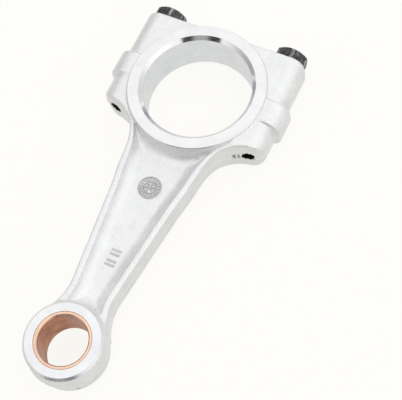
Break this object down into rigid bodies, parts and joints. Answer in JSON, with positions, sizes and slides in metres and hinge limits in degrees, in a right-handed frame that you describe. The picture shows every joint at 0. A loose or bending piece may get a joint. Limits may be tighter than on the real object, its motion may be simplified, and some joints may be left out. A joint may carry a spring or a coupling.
{
  "type": "connecting rod",
  "caption": "Short cast aluminium connecting rod with an I-section beam, bolted bearing cap and bronze-bushed small end.",
  "frame": {"origin": "centre of the big-end (crankpin) bore, half way through its width", "axes": "+Z along both bores, +Y from the small end towards the bearing cap, +X across the two bolts"},
  "size_m": [0.0786, 0.1675, 0.02],
  "materials": {
    "rod_cast": "satin casting with turned faces",
    "cap_cast": "satin casting with turned faces",
    "bush_bronze": "machined bearing bronze",
    "bolt_black": "black oxide, semi-gloss"
  },
  "bodies": {
    "rod": {"rod": "rod_cast", "bush": "bush_bronze"},
    "cap": {"cap": "cap_cast"},
    "bolt_left": {"bolt_left": "bolt_black"},
    "bolt_right": {"bolt_right": "bolt_black"}
  },
  "joints": [
    {"name": "cap_lift", "type": "slide", "parent": "rod", "child": "cap", "axis": [0, 1, 0], "range_m": [0, 0.05]},
    {"name": "bolt_left_out", "type": "slide", "parent": "cap", "child": "bolt_left", "axis": [0, 1, 0], "range_m": [0, 0.045]},
    {"name": "bolt_right_out", "type": "slide", "parent": "cap", "child": "bolt_right", "axis": [0, 1, 0], "range_m": [0, 0.045]}
  ]
}
